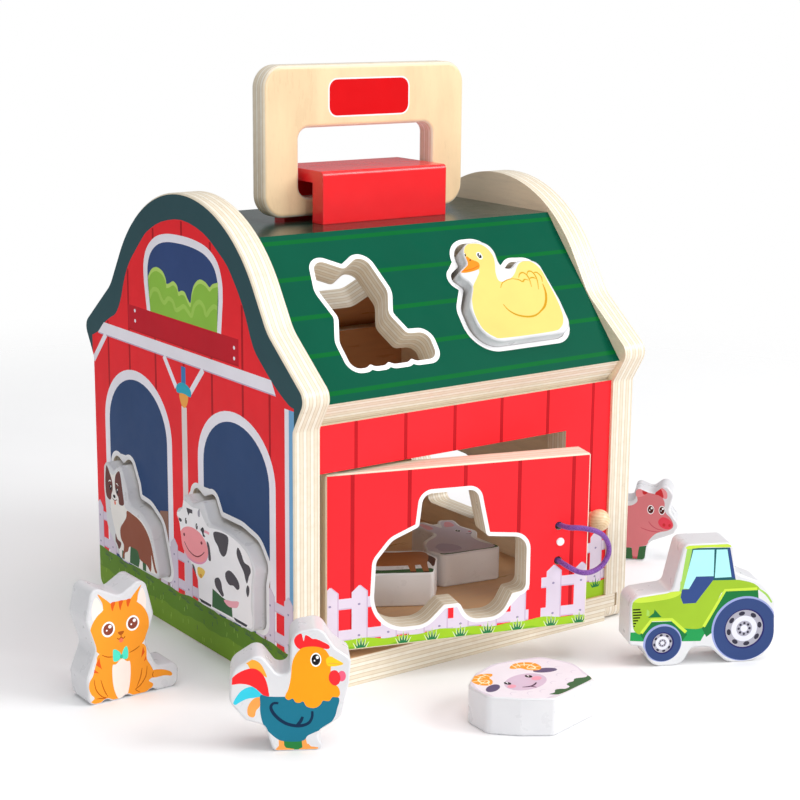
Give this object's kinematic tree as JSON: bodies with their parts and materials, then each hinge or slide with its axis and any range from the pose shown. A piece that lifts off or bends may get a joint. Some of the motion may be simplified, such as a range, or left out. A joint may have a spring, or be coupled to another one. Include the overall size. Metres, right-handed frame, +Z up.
{
  "type": "farm animal shape sorter",
  "caption": "Plywood barn shape sorter with a hinged door, shaped holes, a folding carry handle, an elastic door loop and chunky animal and tractor blocks.",
  "frame": {"origin": "middle of the barn's footprint on the table", "axes": "+X along the front from the hinge side to the latch side, -Y is the door side, +Z up"},
  "size_m": [0.4096, 0.3267, 0.3036],
  "materials": {
    "gable_print": "printed and lacquered plywood",
    "front_print": "printed and lacquered plywood",
    "back_print": "printed and lacquered plywood",
    "base_ply": "clear satin plywood",
    "roof_print": "printed and lacquered plywood",
    "saddle_red": "gloss paint",
    "handle_print": "printed and lacquered plywood",
    "door_print": "printed and lacquered plywood",
    "knob_wood": "turned and lacquered",
    "block_print": "white painted with a printed face",
    "steel": "satin",
    "stud_white": "gloss",
    "elastic_purple": "woven cover"
  },
  "bodies": {
    "barn": {"left_side_panel": "gable_print", "right_side_panel": "gable_print", "front_panel": "front_print", "back_panel": "back_print", "base_board": "base_ply", "roof_front": "roof_print", "roof_back": "roof_print", "ridge_board": "roof_print", "handle_saddle": "saddle_red", "saddle_screws": "steel", "door_knob": "knob_wood"},
    "door_leaf": {"door": "door_print", "door_pins": "steel", "door_stud": "stud_white", "elastic_loop": "elastic_purple", "elastic_knots": "elastic_purple"},
    "carry_handle": {"handle": "handle_print"},
    "dog": {"dog_block": "block_print"},
    "cow": {"cow_block": "block_print"},
    "duck": {"duck_block": "block_print"},
    "cat": {"cat_block": "block_print"},
    "rooster": {"rooster_block": "block_print"},
    "sheep": {"sheep_block": "block_print"},
    "tractor": {"tractor_block": "block_print"},
    "pig": {"pig_block": "block_print"},
    "horse": {"horse_block": "block_print"},
    "rabbit": {"rabbit_block": "block_print"},
    "goose": {"goose_block": "block_print"}
  },
  "joints": [
    {"name": "door_hinge", "type": "hinge", "parent": "barn", "child": "door_leaf", "pos_m": [-0.0805, -0.0975, 0.065], "axis": [0, 0, 1], "range_deg": [-88.7, 16.3]},
    {"name": "handle_fold", "type": "hinge", "parent": "barn", "child": "carry_handle", "pos_m": [0, -0.002, 0.2293], "axis": [1, 0, 0], "range_deg": [-90, 90]},
    {"name": "dog_slide", "type": "slide", "parent": "barn", "child": "dog", "axis": [1, 0, 0], "range_m": [-0.022, 0.045]},
    {"name": "cow_slide", "type": "slide", "parent": "barn", "child": "cow", "axis": [1, 0, 0], "range_m": [-0.022, 0.045]},
    {"name": "duck_slide", "type": "slide", "parent": "barn", "child": "duck", "axis": [0, -0.7571, 0.6533], "range_m": [-0.045, 0.015]},
    {"name": "cat_lift", "type": "slide", "parent": "barn", "child": "cat", "axis": [0, 0, 1], "range_m": [0, 0.06]},
    {"name": "rooster_lift", "type": "slide", "parent": "barn", "child": "rooster", "axis": [0, 0, 1], "range_m": [0, 0.06]},
    {"name": "sheep_lift", "type": "slide", "parent": "barn", "child": "sheep", "axis": [0, 0, 1], "range_m": [0, 0.06]},
    {"name": "tractor_lift", "type": "slide", "parent": "barn", "child": "tractor", "axis": [0, 0, 1], "range_m": [0, 0.06]},
    {"name": "pig_lift", "type": "slide", "parent": "barn", "child": "pig", "axis": [0, 0, 1], "range_m": [0, 0.06]},
    {"name": "horse_lift", "type": "slide", "parent": "barn", "child": "horse", "axis": [0, 0, 1], "range_m": [0, 0.06]},
    {"name": "rabbit_lift", "type": "slide", "parent": "barn", "child": "rabbit", "axis": [0, 0, 1], "range_m": [0, 0.06]},
    {"name": "goose_lift", "type": "slide", "parent": "barn", "child": "goose", "axis": [0, 0, 1], "range_m": [0, 0.06]}
  ]
}
